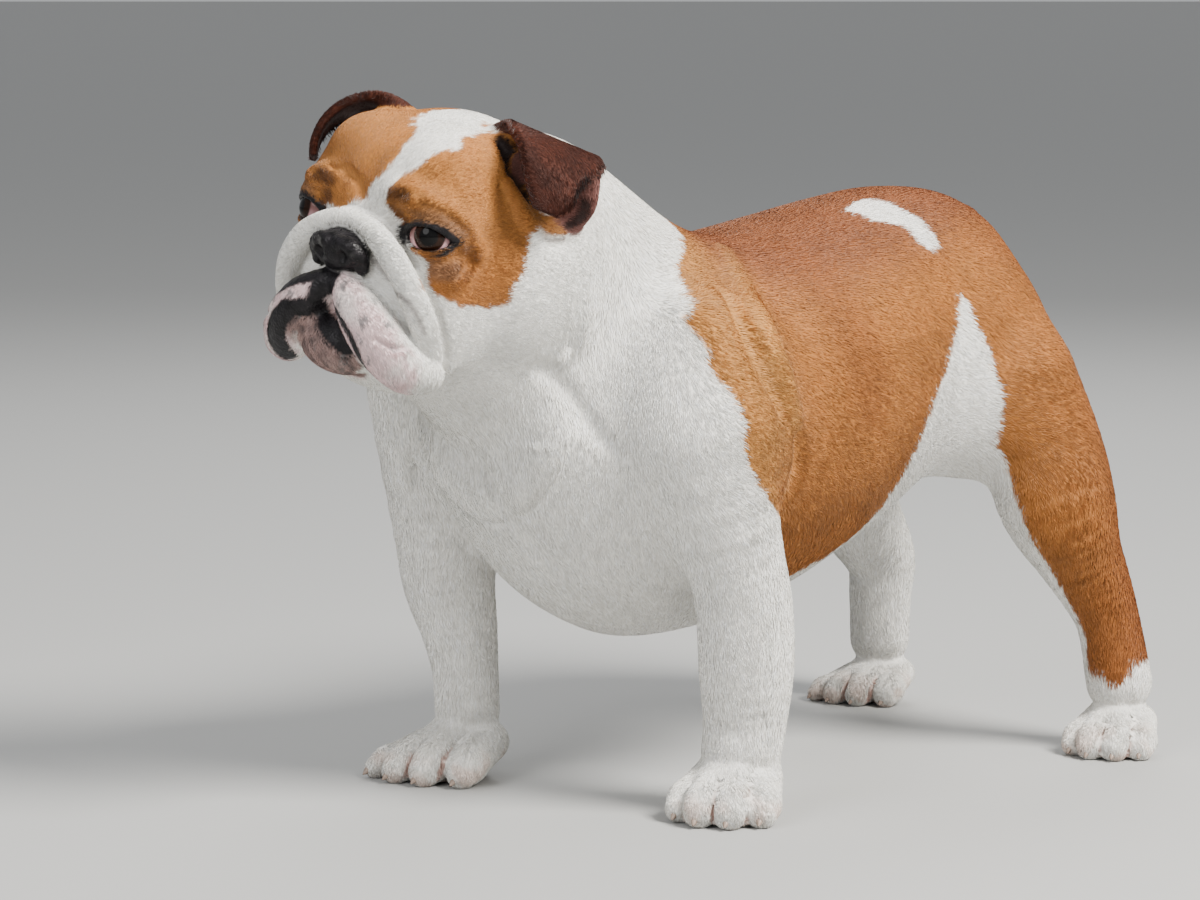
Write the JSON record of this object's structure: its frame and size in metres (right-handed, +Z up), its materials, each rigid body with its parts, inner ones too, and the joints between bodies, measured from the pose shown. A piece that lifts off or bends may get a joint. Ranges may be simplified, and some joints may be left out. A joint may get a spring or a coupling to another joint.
{
  "type": "english bulldog figure",
  "caption": "Life-size still figure of an adult female english bulldog standing square, head turned slightly to its left and tipped, in a short white and red-brown coat",
  "frame": {"origin": "on the floor, under the middle of the dog's box", "axes": "+X to the dog's left, +Y from its head to its tail, +Z up"},
  "size_m": [0.3403, 0.6607, 0.4553],
  "materials": {
    "coat_white": "short flat white fur over skin, matt with a faint sheen",
    "coat_red": "short flat red-brown fur over skin, a soft sheen along the back",
    "coat_face": "very short fur, white with a red-brown patch over each eye",
    "coat_ear": "thin dark red-brown fur on thin skin",
    "nose_leather": "black pebbled skin, slightly moist",
    "lip_skin": "bare lip and chin skin, pink mottled with black",
    "eye": "wet dark brown eye"
  },
  "bodies": {
    "root": {"head": "coat_face", "nose": "nose_leather", "lower_jaw": "lip_skin", "eye_left": "eye", "eye_right": "eye", "ear_left": "coat_ear", "ear_right": "coat_ear", "neck": "coat_white", "chest": "coat_white", "loin": "coat_red", "rump": "coat_red", "tail": "coat_red", "foreleg_left": "coat_white", "foreleg_right": "coat_white", "forepaw_left": "coat_white", "forepaw_right": "coat_white", "thigh_left": "coat_red", "thigh_right": "coat_white", "shank_left": "coat_red", "shank_right": "coat_white", "hindpaw_left": "coat_white", "hindpaw_right": "coat_white"}
  },
  "joints": []
}
